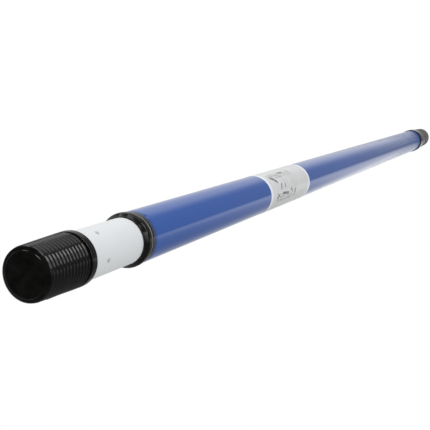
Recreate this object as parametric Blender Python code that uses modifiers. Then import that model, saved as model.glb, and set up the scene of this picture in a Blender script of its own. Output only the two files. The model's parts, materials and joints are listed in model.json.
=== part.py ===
"""A roller shutter tube with its tubular motor built in, as separate pieces.

The turning axis is the world X axis. X = 0 is the flat end of the head that the motor is held by,
and the tube runs towards +X. Lengths below are millimetres; the model is built in metres.
"""
import math

import bmesh
import bpy
from mathutils import Matrix

MM = 0.001
MERGE = 0.00001
GAP = 0.3            # left between pieces that touch, are pressed together or run in each other
OUTER_STEPS = 24     # facets round the tubes and everything of their size
INNER_STEPS = 16     # facets round the smaller pieces inside
SMALL_STEPS = 8      # facets round pins, contacts and rivets

# the ribbed spigots that the wall brackets hold
CAP_LENGTH = 44.0
CAP_FACE_R = 14.8
RIB_CREST_R = (18.2, 19.2)    # at the flat end and at the open rim: the mould's draft
RIB_DEPTH = 1.0
RIB_COUNT = 12
RIB_PITCH = 3.55
FIRST_RIB = 3.6
CAP_WALL = 3.2
CAP_CAVITY_R = 15.3

# the motor housing and the head that closes it
COLLAR_START = 46.0
COLLAR_END = 52.8
LIP_LENGTH = 0.9
COLLAR_R = 19.2
HOUSING_R = 17.45
HOUSING_BORE_R = 16.25
HOUSING_END = 486.5
INSERT_R = 15.8      # pieces that slide into the housing
CORE_END = 84.0
CORE_BORE_R = 9.0
STAKE_X = 70.0
STAKE_COUNT = 5
STAKE_R = 1.7
STAKE_DEPTH = 0.6

# the cable socket and the setting button, on the sides of the head
SOCKET_X = 22.0
SOCKET_SIZE = (20.0, 14.0)
SOCKET_TOP = -2.3
SOCKET_MOUTH = -17.5
SOCKET_FLOOR = -8.0
RECESS_SIZE = (14.0, 9.0)
CONTACT_SPACING = 3.5
CONTACT_R = 0.9
CONTACT_END = -12.0
BUTTON_X = 24.0
BUTTON_R = 2.4
BUTTON_INNER = 12.4
BUTTON_OUTER = 18.3
BUTTON_STEPS = 12
LEAD_R = 1.7

# the electronics
BOARD_X = (93.0, 191.0)
BOARD_HALF_WIDTH = 14.2
BOARD_Z = (-3.7, -2.1)
BOARD_PARTS_Z = BOARD_Z[1] + GAP

# the brake, from its disc to the back of its coil pot
DISC_X = (254.5, 258.0)
ARMATURE_X = (258.3, 261.1)
POT_X = (261.9, 276.0)
SPRING_COIL_R = 5.3
SPRING_WIRE_R = 0.45

# the motor
SHAFT_R = 3.0
STACK_X = (298.0, 362.0)
STATOR_BORE_R = 9.0
SLOT_ROOT_R = 13.0
SLOT_COUNT = 12
COIL_END_R = (9.6, 14.6)
SLOT_BAR_ORBIT = 11.4
SLOT_BAR_R = 1.1
BAR_STEPS = 6
ROTOR_R = 8.6
CAGE_BARS = 6
CAGE_BAR_R = 0.9
CAGE_BAR_ORBIT = 6.6
BELLS_X = {"rear": (279.0, 284.0), "front": (376.0, 381.0)}
BUSH_SEAT_R = 5.9

# the three planetary stages share one ring gear
MODULE = 0.8
SUN_TEETH = 9
PLANET_TEETH = 12
RING_TEETH = 33
PLANETS = 3
ORBIT_R = MODULE * (SUN_TEETH + PLANET_TEETH) / 2
STAGE_X = (388.0, 408.0, 428.0)
GEAR_WIDTH = 10.0
CARRIER_R = 12.0
CARRIER_THICKNESS = 4.0
PIN_R = 1.5
STUB_R = 2.2
RING_X = (385.0, 471.0)
TOOTH_SHARE = 0.83   # of half a pitch, which leaves the backlash
TIP_SHARE = 0.45     # of that width, at a tooth's tip

# the output
OUTPUT_R = 5.0
OUTPUT_X = (440.3, 531.0)
FLAT_Z = 4.2         # half the width across the shaft's two flats
ADAPTER_X = (500.0, 528.0)

# the winding tube and what it carries
TUBE_R = 20.0
TUBE_BORE_R = 18.8
TUBE_X = (131.0, 1291.0)
PLUG_R = 18.4        # pieces that slide into the winding tube
CROWN_X = 118.2
CROWN_BORE_R = 17.8
CROWN_R = 20.7
CROWN_GROOVE_R = 18.8
CROWN_REAR_R = 20.1
LABEL_X = (391.0, 525.0)
CROWN_STAKES = 3
CROWN_STAKE_X = 136.0
RIVETS = 2
RIVET_R = 1.6
RIVET_INNER_R = 16.4
ADAPTER_RIVET_X = 522.5

# the idler end
FLANGE_R = 21.4
FLANGE_END = 1319.0
IDLER_START = 1253.0     # where the flanged plug begins inside the tube
AXLE_R = 6.0
BUSH_R = 9.2
SLEEVE_R = 18.2
OVERALL_LENGTH = 1411.0

ALONG_X = (0.0, math.pi / 2, 0.0)      # turns an object's own Z axis towards world +X
ALONG_Y = (-math.pi / 2, 0.0, 0.0)     # and towards world +Y
SHARP_ANGLE = math.radians(50)


def clear_scene():
    for obj in list(bpy.data.objects):
        bpy.data.objects.remove(obj, do_unlink=True)


def new_collection(name):
    collection = bpy.data.collections.new(name)
    bpy.context.scene.collection.children.link(collection)
    return collection


clear_scene()
PARTS = new_collection("roller_shutter_motor")
CUTTERS = new_collection("cutters")


# materials

def material(name, colour, roughness, metallic=0.0):
    look = bpy.data.materials.new(name)
    look.use_nodes = True
    shader = look.node_tree.nodes["Principled BSDF"]
    shader.inputs["Base Color"].default_value = (*colour, 1.0)
    shader.inputs["Roughness"].default_value = roughness
    shader.inputs["Metallic"].default_value = metallic
    return look


BLACK_PLASTIC = material("black_plastic", (0.012, 0.012, 0.012), 0.35)
WHITE_ENAMEL = material("white_enamel", (0.78, 0.80, 0.83), 0.3)
BLUE_ENAMEL = material("blue_enamel", (0.045, 0.095, 0.36), 0.22)
LABEL_FILM = material("label_film", (0.62, 0.63, 0.66), 0.45)
RUBBER = material("rubber", (0.085, 0.08, 0.062), 0.6)
STEEL = material("steel", (0.55, 0.55, 0.56), 0.3, 1.0)
IRON = material("laminated_iron", (0.22, 0.22, 0.23), 0.5, 1.0)
ALUMINIUM = material("aluminium", (0.75, 0.76, 0.77), 0.4, 1.0)
COPPER = material("copper", (0.72, 0.33, 0.16), 0.35, 1.0)
BRASS = material("brass", (0.78, 0.6, 0.28), 0.3, 1.0)
BRONZE = material("bronze", (0.5, 0.33, 0.16), 0.45, 1.0)
BOARD_GREEN = material("board_green", (0.02, 0.16, 0.06), 0.4)
GREY_PLASTIC = material("grey_plastic", (0.12, 0.118, 0.115), 0.45)
NYLON = material("nylon", (0.8, 0.78, 0.7), 0.45)
WIRE_SLEEVE = material("wire_sleeve", (0.16, 0.06, 0.03), 0.5)
LINING = material("brake_lining", (0.12, 0.1, 0.08), 0.8)
MAGNET = material("magnet", (0.08, 0.08, 0.09), 0.4, 0.5)


# placing and cutting

def pivot(name, at=(0.0, 0.0, 0.0)):
    """An empty on a joint's axis, which the pieces that turn or slide together hang from."""
    empty = bpy.data.objects.new(name, None)
    empty.empty_display_size = 0.02
    empty.location = [v * MM for v in at]
    PARTS.objects.link(empty)
    return empty


def place(obj, at, turn, look=None, holder=None, collection=PARTS):
    """Puts an object at a point given in millimetres of the world."""
    collection.objects.link(obj)
    start = [v * MM for v in at]
    if holder:
        obj.parent = holder
        start = [a - b for a, b in zip(start, holder.location)]
    obj.location = start
    obj.rotation_euler = turn
    if look:
        obj.data.materials.append(look)
    return obj


def as_cutter(obj):
    obj.hide_render = True
    obj.display_type = "WIRE"
    return obj


def combine(obj, other, operation):
    """Cuts obj with a cutter, or joins a guide to it."""
    step = obj.modifiers.new(operation.lower(), "BOOLEAN")
    step.operation = operation
    step.solver = "EXACT"
    step.object = other
    return obj


def shade_round(mesh):
    mesh.shade_smooth()
    mesh.set_sharp_from_angle(angle=SHARP_ANGLE)


# shapes

def outline_area(points):
    """The signed area of an outline, positive when it runs down its outer side."""
    return sum(a[0] * b[1] - b[0] * a[1] for a, b in zip(points, points[1:] + points[:1])) / 2


def turned_mesh(name, outlines):
    """A solid of revolution about its own Z axis. Each outline is a list of (along, radius) in mm."""
    mesh = bpy.data.meshes.new(name)
    bm = bmesh.new()
    for points in outlines:
        points = list(points)
        closed = min(r for _, r in points) > 0
        if outline_area(points) < 0:
            points.reverse()
        rail = [bm.verts.new((r * MM, 0.0, x * MM)) for x, r in points]
        for a, b in zip(rail, rail[1:]):
            bm.edges.new((a, b))
        if closed:
            bm.edges.new((rail[-1], rail[0]))
    bm.to_mesh(mesh)
    bm.free()
    return mesh


def turned(name, outlines, look, steps, at=(0.0, 0.0, 0.0), turn=ALONG_X, holder=None, cutter=False):
    """A turned piece, with its axis along the object's Z axis turned by turn."""
    if not isinstance(outlines[0], list):
        outlines = [outlines]
    obj = bpy.data.objects.new(name, turned_mesh(name, outlines))
    place(obj, at, turn, look, holder, CUTTERS if cutter else PARTS)
    screw = obj.modifiers.new("turn", "SCREW")
    screw.steps = steps
    screw.render_steps = steps
    screw.use_smooth_shade = True
    screw.use_merge_vertices = True
    screw.merge_threshold = MERGE
    return as_cutter(obj) if cutter else obj


def ring_outline(x, inner, outer):
    """The outline of a plain ring between two positions along the axis."""
    return [(x[0], inner), (x[0], outer), (x[1], outer), (x[1], inner)]


def ring(name, x, inner, outer, look, steps, holder=None):
    return turned(name, ring_outline(x, inner, outer), look, steps, holder=holder)


def disc_outline(x, radius):
    return [(x[0], 0.0), (x[0], radius), (x[1], radius), (x[1], 0.0)]


def boxes(name, spans, look=None, holder=None, cutter=False):
    """Separate boxes in one object. Each span is (x range, y range, z range) in mm."""
    mesh = bpy.data.meshes.new(name)
    bm = bmesh.new()
    for span in spans:
        centre = [sum(limits) / 2 * MM for limits in span]
        size = [(limits[1] - limits[0]) * MM for limits in span]
        matrix = Matrix.Translation(centre) @ Matrix.Diagonal((*size, 1.0))
        bmesh.ops.create_cube(bm, size=1.0, matrix=matrix)
    bm.to_mesh(mesh)
    bm.free()
    obj = bpy.data.objects.new(name, mesh)
    place(obj, (0, 0, 0), (0, 0, 0), look, holder, CUTTERS if cutter else PARTS)
    return as_cutter(obj) if cutter else obj


def rods(name, poses, radius, length, look=None, holder=None, steps=SMALL_STEPS, cutter=False):
    """Separate rods in one object. Each pose is a matrix whose Z axis runs along the rod."""
    mesh = bpy.data.meshes.new(name)
    bm = bmesh.new()
    for pose in poses:
        bmesh.ops.create_cone(bm, cap_ends=True, segments=steps, radius1=radius * MM,
                              radius2=radius * MM, depth=length * MM, matrix=pose)
    bm.to_mesh(mesh)
    bm.free()
    shade_round(mesh)
    obj = bpy.data.objects.new(name, mesh)
    place(obj, (0, 0, 0), (0, 0, 0), look, holder, CUTTERS if cutter else PARTS)
    return as_cutter(obj) if cutter else obj


def polar(angle, radius):
    """The world (y, z) of a point round the axis; angle 0 points down, and turns as the tube does."""
    return radius * math.sin(angle), -radius * math.cos(angle)


def round_the_axis(count, x, radius, first=0.0):
    """Matrices for radial rods, evenly spaced round the axis, their Z axes pointing outwards."""
    for n in range(count):
        angle = first + 2 * math.pi * n / count
        y, z = polar(angle, radius)
        yield (Matrix.Translation((x * MM, y * MM, z * MM))
               @ Matrix.Rotation(angle - math.pi, 4, "X"))


def along_the_axis(count, x, radius, first=0.0):
    """Matrices for rods parallel to the axis, evenly spaced round it."""
    for n in range(count):
        y, z = polar(first + 2 * math.pi * n / count, radius)
        yield Matrix.Translation((x * MM, y * MM, z * MM)) @ Matrix.Rotation(math.pi / 2, 4, "Y")


def plate(name, loops, x, look, at=(0.0, 0.0), holder=None):
    """A flat piece across the axis. Each loop is a list of (angle, radius), and inner loops are holes."""
    curve = bpy.data.curves.new(name, "CURVE")
    curve.dimensions = "2D"
    curve.fill_mode = "BOTH"
    curve.extrude = (x[1] - x[0]) / 2 * MM
    for loop in loops:
        spline = curve.splines.new("POLY")
        spline.points.add(len(loop) - 1)
        spline.use_cyclic_u = True
        for point, (angle, radius) in zip(spline.points, loop):
            point.co = (radius * math.cos(angle) * MM, radius * math.sin(angle) * MM, 0.0, 1.0)
    obj = bpy.data.objects.new(name, curve)
    return place(obj, (sum(x) / 2, *at), ALONG_X, look, holder)


def as_mesh(obj):
    """The mesh of a curve object, as a guide for a Boolean. The curve is removed."""
    bpy.context.view_layer.update()
    evaluated = obj.evaluated_get(bpy.context.evaluated_depsgraph_get())
    mesh = bpy.data.meshes.new_from_object(evaluated)
    bm = bmesh.new()
    bm.from_mesh(mesh)
    bmesh.ops.remove_doubles(bm, verts=bm.verts, dist=MERGE)
    bm.to_mesh(mesh)
    bm.free()
    guide = bpy.data.objects.new(obj.name + "_guide", mesh)
    guide.matrix_world = obj.matrix_world
    CUTTERS.objects.link(guide)
    bpy.data.objects.remove(obj, do_unlink=True)
    return as_cutter(guide)


def circle_loop(radius, steps):
    return [(2 * math.pi * n / steps, radius) for n in range(steps)]


def wire(name, line, radius, look, resolution=1):
    """A round wire through a list of points in mm."""
    curve = bpy.data.curves.new(name, "CURVE")
    curve.dimensions = "3D"
    curve.bevel_depth = radius * MM
    curve.bevel_resolution = resolution
    curve.use_fill_caps = True
    spline = curve.splines.new("POLY")
    spline.points.add(len(line) - 1)
    for point, place_mm in zip(spline.points, line):
        point.co = (*[v * MM for v in place_mm], 1.0)
    obj = bpy.data.objects.new(name, curve)
    return place(obj, (0, 0, 0), (0, 0, 0), look)


# the ribbed spigots

def ribbed_outline():
    """The outer side of a ribbed spigot, from its flat end face to its open rim."""
    front, rear = RIB_CREST_R
    points = [(0.0, CAP_FACE_R), (0.6, 16.4), (1.8, front - RIB_DEPTH)]
    for n in range(RIB_COUNT):
        x = FIRST_RIB + n * RIB_PITCH
        crest = front + (rear - front) * x / CAP_LENGTH
        points.append((x, crest))
        if n < RIB_COUNT - 1:
            points.append((x + RIB_PITCH / 2, crest - RIB_DEPTH))
    return points + [(CAP_LENGTH - 0.5, rear - RIB_DEPTH), (CAP_LENGTH, rear - RIB_DEPTH)]


def make_head_cap():
    """The ribbed shell over the head, with a window for the cable socket and a hole for the button."""
    cavity = [(CAP_LENGTH, CAP_CAVITY_R), (CAP_WALL, CAP_CAVITY_R), (CAP_WALL, 0.0)]
    cap = turned("head_cap", [(0.0, 0.0), *ribbed_outline(), *cavity], BLACK_PLASTIC, OUTER_STEPS)
    half_x, half_y = [v / 2 + GAP for v in SOCKET_SIZE]
    through_x = (SOCKET_X - half_x, SOCKET_X + half_x)
    through_z = (-RIB_CREST_R[1] - 2, -12)
    window = boxes("socket_window", [(through_x, (-half_y, half_y), through_z)], cutter=True)
    sideways = Matrix.Translation((BUTTON_X * MM, 17 * MM, 0)) @ Matrix.Rotation(math.pi / 2, 4, "X")
    hole = rods("button_hole", [sideways], BUTTON_R + 0.4, 8, steps=BUTTON_STEPS, cutter=True)
    combine(cap, window, "DIFFERENCE")
    combine(cap, hole, "DIFFERENCE")


def make_end_cap():
    """The same ribbed shell, turned round, with a hub that holds the idler axle."""
    outside = [(OVERALL_LENGTH - x, r) for x, r in ribbed_outline()]
    rim = OVERALL_LENGTH - CAP_LENGTH
    floor = OVERALL_LENGTH - CAP_WALL
    hub = [(rim, CAP_CAVITY_R), (floor - 10, CAP_CAVITY_R), (floor - 10, 9.0), (rim, 9.0),
           (rim, AXLE_R + GAP), (floor - 8, AXLE_R + GAP), (floor - 8, 0.0)]
    turned("end_cap", [(OVERALL_LENGTH, 0.0), *outside, *hub], GREY_PLASTIC, OUTER_STEPS, holder=IDLER)


# the head

def make_head_core():
    """The plug that joins cap and housing, with the tongue that carries the socket and the switch."""
    cap_side, collar_side = CAP_LENGTH + GAP, COLLAR_START - GAP
    outline = [(36.0, CORE_BORE_R), (36.0, 15.0), (cap_side, 15.0), (cap_side, 17.0),
               (collar_side, 17.0), (collar_side, INSERT_R), (CORE_END, INSERT_R),
               (CORE_END, CORE_BORE_R)]
    core = turned("head_core", outline, BLACK_PLASTIC, OUTER_STEPS)
    tongue = boxes("core_tongue", [((8, 40), (-8, 8), (-2, 2))], cutter=True)
    bar = boxes("core_bar", [((36.5, 41), (-12, 12), (-1.9, 1.9))], cutter=True)
    combine(core, bar, "UNION")
    combine(core, tongue, "UNION")


def make_head_collar():
    """The ring between cap and housing, with a lip that covers the housing's end."""
    bore, lip = HOUSING_R + GAP, INSERT_R + GAP
    outline = [(COLLAR_START, lip), (COLLAR_START, COLLAR_R), (COLLAR_END, COLLAR_R), (COLLAR_END, bore),
               (COLLAR_START + LIP_LENGTH, bore), (COLLAR_START + LIP_LENGTH, lip)]
    turned("head_collar", outline, BLACK_PLASTIC, OUTER_STEPS)


def make_housing_tube():
    """The motor's steel tube, staked to the head core by five dents."""
    tube = ring("housing_tube", (COLLAR_START + LIP_LENGTH + GAP, HOUSING_END), HOUSING_BORE_R, HOUSING_R,
                WHITE_ENAMEL, OUTER_STEPS)
    dents = rods("stakes", round_the_axis(STAKE_COUNT, STAKE_X, HOUSING_R, first=math.radians(210)),
                 STAKE_R, 2 * STAKE_DEPTH, cutter=True)
    combine(tube, dents, "DIFFERENCE")


def make_cable_socket():
    """The socket that the mains lead plugs into, under the head, with its three contacts."""
    half_x, half_y = [v / 2 for v in SOCKET_SIZE]
    socket = boxes("cable_socket", [((SOCKET_X - half_x, SOCKET_X + half_x), (-half_y, half_y),
                                     (SOCKET_MOUTH, SOCKET_TOP))], GREY_PLASTIC)
    deep_x, deep_y = [v / 2 for v in RECESS_SIZE]
    recess = boxes("socket_recess", [((SOCKET_X - deep_x, SOCKET_X + deep_x), (-deep_y, deep_y),
                                      (SOCKET_MOUTH - 2, SOCKET_FLOOR))], cutter=True)
    combine(socket, recess, "DIFFERENCE")
    length = SOCKET_FLOOR - GAP - CONTACT_END
    middle = (SOCKET_FLOOR - GAP + CONTACT_END) / 2
    places = [(SOCKET_X + n * CONTACT_SPACING, 0, middle) for n in (-1, 0, 1)]
    poses = [Matrix.Translation([v * MM for v in at]) for at in places]
    pins = rods("contact_pins", poses, CONTACT_R, length, cutter=True)
    reach = CONTACT_SPACING + 1.5
    floor = SOCKET_FLOOR - GAP
    strip = boxes("socket_contacts", [((SOCKET_X - reach, SOCKET_X + reach), (-1.6, 1.6),
                                       (floor - 0.8, floor + 0.05))], BRASS)
    combine(strip, pins, "UNION")


def make_setting_button():
    """The button that sets the end positions, and the small switch that it presses."""
    outline = [(BUTTON_INNER, 0.0), (BUTTON_INNER, BUTTON_R), (13.2, BUTTON_R), (13.2, 3.6), (14.3, 3.6),
               (14.3, BUTTON_R), (BUTTON_OUTER - 0.4, BUTTON_R), (BUTTON_OUTER, 2.0), (BUTTON_OUTER, 0.0)]
    outline = [(y - BUTTON_OUTER, r) for y, r in outline]
    face = (BUTTON_X, BUTTON_OUTER, 0)
    turned("setting_button", outline, GREY_PLASTIC, BUTTON_STEPS, at=face, turn=ALONG_Y)
    boxes("button_switch", [((BUTTON_X - 3, BUTTON_X + 3), (8.0 + GAP, 11.3), (-3, 3))], GREY_PLASTIC)


def make_board_lead():
    """The lead from the socket to the board, through the bore of the head core."""
    line = [(SOCKET_X + 10.4, 0, -6.5), (36, 0, -5.9), (46, 0, -5.6), (60, 0, -5.0), (72, 0, -4.0),
            (82, 0, -2.4), (89, 0, -0.6), (96, 0, 0.6), (104, 0, 1.0)]
    wire("board_lead", line, LEAD_R, WIRE_SLEEVE)


# the electronics

def make_electronics():
    """The control board in its carrier, with what is soldered to it, and the motor's capacitor."""
    sweep = math.radians(75)
    steps = 12
    arc = [-sweep + 2 * sweep * n / steps for n in range(steps + 1)]
    trough = [(a, INSERT_R) for a in arc] + [(a, INSERT_R - 1.2) for a in reversed(arc)]
    plate("board_carrier", [trough], (92.0, 192.0), GREY_PLASTIC)
    half = BOARD_HALF_WIDTH
    boxes("control_board", [(BOARD_X, (-half, half), BOARD_Z)], BOARD_GREEN)
    low = BOARD_PARTS_Z
    boxes("relay_up", [((112, 126), (-11, -1), (low, 8.5))], GREY_PLASTIC)
    boxes("relay_down", [((112, 126), (1, 11), (low, 8.5))], GREY_PLASTIC)
    turned("run_capacitor", [(197, 0), (197, 13), (198.5, 14), (246, 14), (247.5, 13), (247.5, 0)],
           ALUMINIUM, INNER_STEPS)


# the brake

def make_brake():
    """The spring-applied brake: power pulls the armature off the disc, towards the coil."""
    front, back = POT_X
    pot = [(front, 13.5), (front, INSERT_R), (back, INSERT_R), (back, 3.8), (front + 6, 3.8),
           (front + 6, 6.9), (front, 6.9), (front, 9.0), (front + 9, 9.0), (front + 9, 13.5)]
    turned("brake_pot", pot, IRON, INNER_STEPS)
    ring("brake_winding", (front + 0.4, front + 8.6), 9.3, 13.1, COPPER, INNER_STEPS)
    turned("brake_armature", ring_outline(ARMATURE_X, 3.8, 14.0), IRON, INNER_STEPS)
    ring("brake_disc", DISC_X, SHAFT_R + GAP, 13.0, LINING, INNER_STEPS, holder=ROTOR)
    turns, points_per_turn = 3, 10
    start = ARMATURE_X[1] + GAP + SPRING_WIRE_R
    length = front + 6 - GAP - SPRING_WIRE_R - start
    total = turns * points_per_turn
    helix = []
    for n in range(total + 1):
        y, z = polar(2 * math.pi * n / points_per_turn, SPRING_COIL_R)
        helix.append((start + length * n / total, y, z))
    wire("brake_spring", helix, SPRING_WIRE_R, STEEL, resolution=0)


# the motor

def slotted_loop(count, root, tip, root_half, tip_half, first=0.0):
    """A loop round the axis with a tooth at each step: (angle, radius) of its four corners."""
    loop = []
    for n in range(count):
        centre = first + 2 * math.pi * n / count
        loop += [(centre - root_half, root), (centre - tip_half, tip),
                 (centre + tip_half, tip), (centre + root_half, root)]
    return loop


def make_stator():
    """The slotted iron stack, and the copper windings in its slots and round its ends."""
    teeth = slotted_loop(SLOT_COUNT, SLOT_ROOT_R, STATOR_BORE_R, math.radians(6.5), math.radians(7.5))
    plate("stator_core", [circle_loop(INSERT_R, OUTER_STEPS), teeth], STACK_X, IRON)
    rear = ring_outline((STACK_X[0] - 9.5, STACK_X[0] - 0.5), *COIL_END_R)
    front = ring_outline((STACK_X[1] + 0.5, STACK_X[1] + 9.5), *COIL_END_R)
    windings = turned("stator_windings", [rear, front], COPPER, INNER_STEPS)
    middle = sum(STACK_X) / 2
    length = STACK_X[1] - STACK_X[0] + 6
    between_teeth = along_the_axis(SLOT_COUNT, middle, SLOT_BAR_ORBIT, first=math.pi / SLOT_COUNT)
    bars = rods("slot_bars", between_teeth, SLOT_BAR_R, length, steps=BAR_STEPS, cutter=True)
    combine(windings, bars, "UNION")


def make_rotor():
    """The squirrel cage rotor on its shaft, with the speed magnet at the back."""
    shaft = [(249.4, 0), (249.4, SHAFT_R), (STAGE_X[0], SHAFT_R), (STAGE_X[0], PIN_R),
             (STAGE_X[0] + GEAR_WIDTH, PIN_R), (STAGE_X[0] + GEAR_WIDTH, 0)]
    turned("rotor_shaft", shaft, STEEL, INNER_STEPS, holder=ROTOR)
    bore = SHAFT_R + GAP
    core = ring("rotor_core", STACK_X, bore, ROTOR_R, IRON, INNER_STEPS, holder=ROTOR)
    middle = sum(STACK_X) / 2
    length = STACK_X[1] - STACK_X[0] + 8
    poses = list(along_the_axis(CAGE_BARS, middle, CAGE_BAR_ORBIT))
    slots = rods("rotor_slots", poses, CAGE_BAR_R + GAP, length, steps=BAR_STEPS, cutter=True)
    combine(core, slots, "DIFFERENCE")
    rear = ring_outline((STACK_X[0] - 7.8, STACK_X[0] - GAP), 4.5, ROTOR_R)
    front = ring_outline((STACK_X[1] + GAP, STACK_X[1] + 7.8), 4.5, ROTOR_R)
    cage = turned("rotor_cage", [rear, front], ALUMINIUM, INNER_STEPS, holder=ROTOR)
    bars = rods("cage_bars", poses, CAGE_BAR_R, length, steps=BAR_STEPS, cutter=True)
    combine(cage, bars, "UNION")
    ring("encoder_magnet", (250.0, 253.5), bore, 7.0, MAGNET, INNER_STEPS, holder=ROTOR)


def make_end_bells():
    """The two discs that centre the rotor in the housing, and the bushes that it runs in."""
    for end, x in BELLS_X.items():
        ring(end + "_end_bell", x, BUSH_SEAT_R, INSERT_R, ALUMINIUM, INNER_STEPS)
        ring(end + "_bush", x, SHAFT_R + GAP, BUSH_SEAT_R - GAP, BRONZE, INNER_STEPS)


# the gearbox

def gear_loop(teeth, sign, share, first=0.0):
    """The outline of a spur gear, or of a ring gear's teeth when sign is -1."""
    pitch_r = MODULE * teeth / 2
    tip = pitch_r + sign * MODULE * (1.0 if sign > 0 else 0.7)
    root = pitch_r - sign * MODULE * (1.0 if sign > 0 else 1.05)
    thickness = math.pi * MODULE / 2 * TOOTH_SHARE
    at_root, at_tip = share * thickness / 2 / root, TIP_SHARE * thickness / 2 / tip
    return slotted_loop(teeth, root, tip, at_root, at_tip, first)


def make_gears():
    """One long ring gear, the first sun gear, and three planet gears in each of three stages."""
    teeth = gear_loop(RING_TEETH, -1, 1.1)
    plate("ring_gear", [circle_loop(INSERT_R, OUTER_STEPS), teeth], RING_X, NYLON)
    bore = circle_loop(PIN_R + GAP, SMALL_STEPS)
    plate("sun_gear", [gear_loop(SUN_TEETH, 1, 1.25), bore], gear_face(STAGE_X[0]), STEEL, holder=ROTOR)
    half_tooth = math.pi / PLANET_TEETH
    for stage, start in enumerate(STAGE_X, 1):
        for n, letter in enumerate("abc"):
            angle = 2 * math.pi * n / PLANETS
            loop = gear_loop(PLANET_TEETH, 1, 1.3, first=angle + half_tooth)
            name = f"planet_gear_{stage}{letter}"
            plate(name, [loop, bore], gear_face(start), NYLON, at=polar(angle, ORBIT_R))


def gear_face(start):
    """Where the teeth of a stage begin and end along the axis."""
    return (start + 1, start + GEAR_WIDTH - 0.5)


def make_carrier(name, start, outline, holder):
    """A carrier: a turned body and three pins for its planets."""
    carrier = turned(name, outline, STEEL, INNER_STEPS, holder=holder)
    length = GEAR_WIDTH + 1
    middle = start + GEAR_WIDTH + 2 - length / 2
    pins = rods(name + "_pins", along_the_axis(PLANETS, middle, ORBIT_R), PIN_R, length, cutter=True)
    return combine(carrier, pins, "UNION")


def make_carriers():
    """The first two carriers each end in the next stage's sun gear, in one piece with them."""
    for n, holder in enumerate((CARRIER_1, CARRIER_2)):
        start = STAGE_X[n]
        disc = (start + GEAR_WIDTH + 1, start + GEAR_WIDTH + 1 + CARRIER_THICKNESS)
        face = gear_face(STAGE_X[n + 1])
        outline = [(disc[0], 0), (disc[0], CARRIER_R), (disc[1], CARRIER_R), (disc[1], STUB_R),
                   (face[1] - 1, STUB_R), (face[1] - 1, 0)]
        carrier = make_carrier(f"carrier_{n + 1}", start, outline, holder)
        sun = as_mesh(plate(f"sun_{n + 2}_teeth", [gear_loop(SUN_TEETH, 1, 1.25)], face, STEEL))
        combine(carrier, sun, "UNION")
    start = STAGE_X[2]
    disc = (start + GEAR_WIDTH + 1, start + GEAR_WIDTH + 1 + CARRIER_THICKNESS)
    make_carrier("output_carrier", start, ring_outline(disc, OUTPUT_R + GAP, CARRIER_R), TUBE)


# the output and the drive to the tube

def make_output():
    """The cover that closes the gearbox, the output shaft in its bush, and the wheel that it drives."""
    end = HOUSING_END + GAP
    cover = [(474, 8.4), (474, INSERT_R), (end, INSERT_R), (end, 17.2), (end + 2.5, 17.2), (end + 2.5, 8.4)]
    turned("gearbox_cover", cover, ALUMINIUM, INNER_STEPS)
    ring("output_bush", (474.5, end + 2), OUTPUT_R + GAP, 8.1, BRONZE, INNER_STEPS)
    shaft = turned("output_shaft", disc_outline(OUTPUT_X, OUTPUT_R), STEEL, INNER_STEPS, holder=TUBE)
    long = (ADAPTER_X[0], OUTPUT_X[1] + 5)
    wide = (-2 * OUTPUT_R, 2 * OUTPUT_R)
    above = (long, wide, (FLAT_Z, 2 * OUTPUT_R))
    below = (long, wide, (-2 * OUTPUT_R, -FLAT_Z))
    flats = boxes("shaft_flats", [above, below], cutter=True)
    combine(shaft, flats, "DIFFERENCE")


def make_drive_adapter():
    """The wheel on the output shaft's flats that the winding tube is riveted to."""
    low, high = ADAPTER_X
    web = (low + 9, low + 15)
    bore = OUTPUT_R + GAP
    outline = [(low, bore), (low, 9.5), (web[0], 9.5), (web[0], 15.2), (low, 15.2), (low, PLUG_R),
               (high, PLUG_R), (high, 15.2), (web[1], 15.2), (web[1], 9.5), (high, 9.5), (high, bore)]
    wheel = turned("drive_adapter", outline, BLACK_PLASTIC, INNER_STEPS, holder=TUBE)
    near, far = FLAT_Z + GAP, FLAT_Z + 2.0
    long = (low + 1, high - 1)
    wide = (-3.5, 3.5)
    flats = boxes("bore_flats", [(long, wide, (near, far)), (long, wide, (-far, -near))], cutter=True)
    combine(wheel, flats, "UNION")
    combine(wheel, ADAPTER_HOLES, "DIFFERENCE")


def c_loop(inner, outer, gap_degrees):
    """A retaining ring's outline, open on one side."""
    first = math.radians(gap_degrees)
    last = 2 * math.pi - first
    arc = [first + (last - first) * n / 12 for n in range(13)]
    return [(a, outer) for a in arc] + [(a, inner) for a in reversed(arc)]


def make_clips():
    """The retaining rings on the output shaft and on the idler axle."""
    plate("shaft_clip", [c_loop(OUTPUT_R + GAP, 7.5, 30)], (528.6, 529.8), STEEL, holder=TUBE)
    clip_x = (IDLER_START + 3.2, IDLER_START + 4.6)
    plate("axle_clip", [c_loop(AXLE_R + GAP, 9.0, 30)], clip_x, STEEL, holder=IDLER)


# the winding tube

def make_winding_tube():
    """The blue tube, dented onto the crown ring, riveted to the drive adapter, and its label."""
    tube = ring("winding_tube", TUBE_X, TUBE_BORE_R, TUBE_R, BLUE_ENAMEL, OUTER_STEPS, holder=TUBE)
    combine(tube, ADAPTER_HOLES, "DIFFERENCE")
    dents = rods("crown_stakes", round_the_axis(CROWN_STAKES, CROWN_STAKE_X, TUBE_R, math.radians(214)),
                 STAKE_R, 2 * STAKE_DEPTH, cutter=True)
    combine(tube, dents, "DIFFERENCE")
    middle = (TUBE_R + RIVET_INNER_R) / 2
    for n, pose in enumerate(round_the_axis(RIVETS, ADAPTER_RIVET_X, middle)):
        rods(f"adapter_rivet_{'ab'[n]}", [pose], RIVET_R, TUBE_R - RIVET_INNER_R, STEEL, holder=TUBE)
    ring("label", LABEL_X, TUBE_R + GAP, TUBE_R + GAP + 0.2, LABEL_FILM, OUTER_STEPS, holder=TUBE)


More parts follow.
